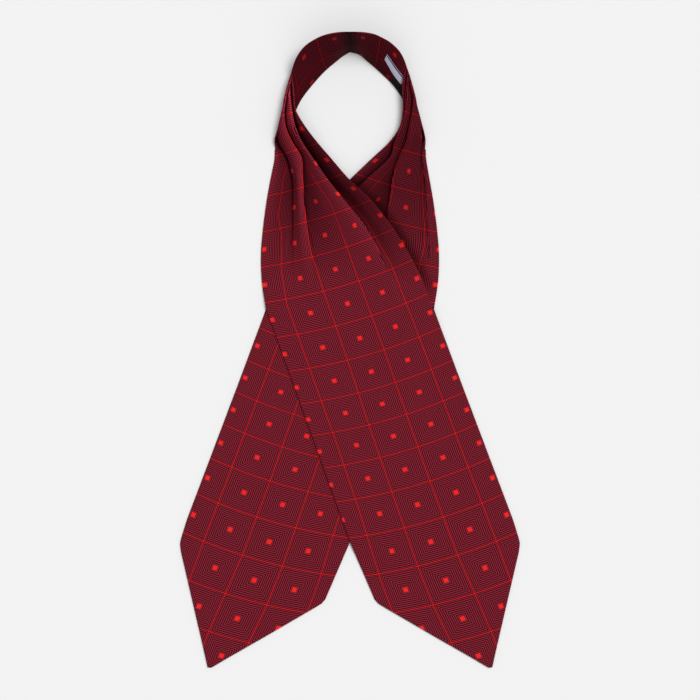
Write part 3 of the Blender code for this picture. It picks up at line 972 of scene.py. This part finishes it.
def half_grid(neck, fold_panes, painted_light_and_shade, groove_floor, folds_from):
    """Middle surface, check and painted light and shade of one half, as if its blade ended on
    the right.
    """
    points, check, light = [], [], []
    for row in neck_rows(neck):
        lift, = at_height(FRONT_LIFT, row[0])
        turn = between(row[0], EDGE_TURNS_OVER)
        section = curve_through(neck_profile(row, lift, turn), CURVE_STEPS)
        x = -section[:, 0]
        y = np.full(len(x), row[0])
        points.append(np.stack([x, y, section[:, 1]], axis=1))
        across, along = check_of_blade(x, y)
        folded = folded_check(row, section, fold_panes)
        check.append(np.stack([mix(across, folded, between(y, folds_from)), along], axis=1))
        light.append(pleat_light(row, section, painted_light_and_shade, groove_floor))

    last = points[-1][:, 0]
    spread = (last - last[0]) / (last[-1] - last[0])
    even = np.linspace(0.0, 1.0, len(last))
    flat = np.full(len(last), BLADE_CLOTH / 2)
    edges = inset_edges(np.array(BLADE), BLADE_CLOTH / 2)
    start = BLADE[0][0] - BLADE_SPACING
    end = edges[-1, 0]
    for station in np.linspace(start, end, int((start - end) / BLADE_SPACING) + 1):
        near = np.interp(-station, -edges[:, 0], edges[:, 1])
        far = np.interp(-station, -edges[:, 0], edges[:, 2])
        x = mix(near, far, mix(spread, even, ease((EVEN_BLADE[0] - station) / EVEN_BLADE[1])))
        y = np.full(len(x), station)
        points.append(np.stack([x, y, flat], axis=1))
        check.append(np.stack(check_of_blade(x, y), axis=1))
        light.append(np.ones(len(x)))
    return np.array(points), np.array(check), np.array(light)


def inset_edges(table, inset):
    """Move a blade's edges in by half the cloth, for the rounding that goes round them."""
    made = []
    for start, end in zip(table, table[1:]):
        drop = start[0] - end[0]
        near = inset * np.hypot(1.0, (end[1] - start[1]) / drop)
        far = inset * np.hypot(1.0, (end[2] - start[2]) / drop)
        for share in np.linspace(0.0, 1.0, max(2, int(drop / 2.0) + 1)):
            row = mix(start, end, share)
            if row[2] - far - row[1] - near > 0.6:
                made.append((row[0], row[1] + near, row[2] - far))
    return np.array(made)


def thickness_of(points):
    """The doubled cloth is pressed thinner where it is pleated."""
    return mix(BLADE_CLOTH, NECK_CLOTH, between(points[:, 0, 1], PRESSED_FROM))


def shade_of_edge(points):
    """Painted shadow of the upper half's edge: what it leaves of the lower one's painted light,
    where it lies over it.
    """
    x, y = points[..., 0], points[..., 1]
    edge = np.array(OVER_NECK)[::-1]
    past_edge = np.abs(x + np.interp(y, edge[:, 0], edge[:, 5]) - EDGE_REACH / 3) / EDGE_REACH
    near_ends = ease((EDGE_SHADE_TO[0] - y) / EDGE_SHADE_TO[1]) * between(y, EDGE_SHADE_FROM)
    return 1 - EDGE_SHADE * np.exp(-past_edge ** 2) * near_ends


points, check, light = half_grid(UNDER_NECK, UNDER_FOLD_PANES, UNDER_PAINTED_LIGHT, UNDER_GROOVE,
                                 UNDER_FOLDS_FROM)
points[..., 0] *= -1
# The lower half's painted light, with the painted shadow of the upper half's edge on it.
under_half = cloth_wall("under_half", points, check, light * shade_of_edge(points),
                        thickness_of(points), silk)
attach(under_half, "root")
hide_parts("neck_under", "blade_under")


# ---------------------------------------------------------------------------------------
# The upper half: the same doubled silk, pleated to the other side.  It crosses on top of
# the lower half at the front, rests on it and slopes down to the table beside it.
# ---------------------------------------------------------------------------------------
OVER_GROOVE = 1.9
OVER_FOLDS_FROM = (95.0, 50.0)
OVER_FOLD_PANES = (
    # y, outer, c_in, c_out, b_in, b_out, a_in, a_out, inner
    (266.0, -1.45, -1.42, -0.15, 0.0, 1.30, 1.40, 2.50, 2.62),
    (226.0, -1.45, -1.40, -0.25, 0.0, 1.28, 1.42, 2.42, 2.62),
    (196.0, -1.45, -1.28, -0.35, 0.0, 1.15, 1.42, 2.22, 2.62),
    (181.0, -1.42, -1.00, -0.45, 0.0, 0.95, 1.50, 2.12, 2.62),
    (161.0, -1.42, -0.66, -0.56, 0.0, 0.45, 1.55, 2.05, 2.62),
    (140.0, -1.45, -0.60, -0.60, 0.0, 0.10, 1.56, 1.96, 2.62),
    (115.0, -1.48, -0.60, -0.60, 0.0, 0.00, 1.78, 1.85, 2.62),
)
# Painted light and shade across the upper half's pleats, as for the lower half.
OVER_PAINTED_LIGHT = (
    # place, at the side of the neck, lower down
    (0, 1.30, 1.05), (3, 1.30, 1.00), (4, 1.00, 0.55), (6, 0.50, 0.26), (8, 0.45, 0.24),
    (9, 0.75, 0.38), (10, 0.90, 0.50), (11, 1.20, 0.98), (12, 1.60, 1.35), (13, 1.50, 1.25),
    (14, 0.10, 0.10), (17, 1.20, 0.20), (18, 1.85, 0.66), (19, 2.00, 1.06), (20, 2.00, 1.00),
    (21, 0.05, 0.08), (24.8, 0.04, 0.16), (25, 0.80, 0.29), (26, 1.10, 0.52),
)
RAMP = 14.0                # along the table, from the lower half's edge
REST_GAP = 0.08
REST_REACH = 2.0           # beside a point, where the lower half also holds it up
SETTLE_PASSES = 12


def rest_height(points, below):
    """How far each point of a grid is raised, over a piece below it or beside that piece."""
    tree = BVHTree.FromObject(below, bpy.context.evaluated_depsgraph_get())
    down = Vector((0, 0, -1))
    raised = np.zeros(points.shape[:2])
    for place in np.ndindex(raised.shape):
        x, y = points[place][:2] * MM
        for dx, dy in ((0, 0), (1, 0), (-1, 0), (0, 1), (0, -1)):
            over = Vector((x + dx * REST_REACH * MM, y + dy * REST_REACH * MM, 0.1))
            hit = tree.ray_cast(over, down)[0]
            if hit is not None:
                raised[place] = max(raised[place], hit.z / MM + REST_GAP)
        if raised[place] == 0.0:
            near = tree.find_nearest(Vector((x, y, 0.001)), RAMP * MM)[0]
            if near is not None:
                away = np.hypot(near.x - x, near.y - y) / MM
                raised[place] = (BLADE_CLOTH + REST_GAP) * ease(1.0 - away / RAMP)
    return raised


def settle(raised):
    """Let stiff cloth bridge the steps below it, without sinking into them."""
    settled = raised
    for _ in range(SETTLE_PASSES):
        padded = np.pad(settled, 1, mode="edge")
        beside = padded[:-2, 1:-1] + padded[2:, 1:-1] + padded[1:-1, :-2] + padded[1:-1, 2:]
        settled = np.maximum((beside + 2 * settled) / 6, raised)
    return settled


points, check, light = half_grid(OVER_NECK, OVER_FOLD_PANES, OVER_PAINTED_LIGHT, OVER_GROOVE,
                                 OVER_FOLDS_FROM)
points[..., 2] += settle(rest_height(points, under_half))
over_half = cloth_wall("over_half", points, check, light, thickness_of(points), silk)
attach(over_half, "root")
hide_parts("neck_over", "blade_over")
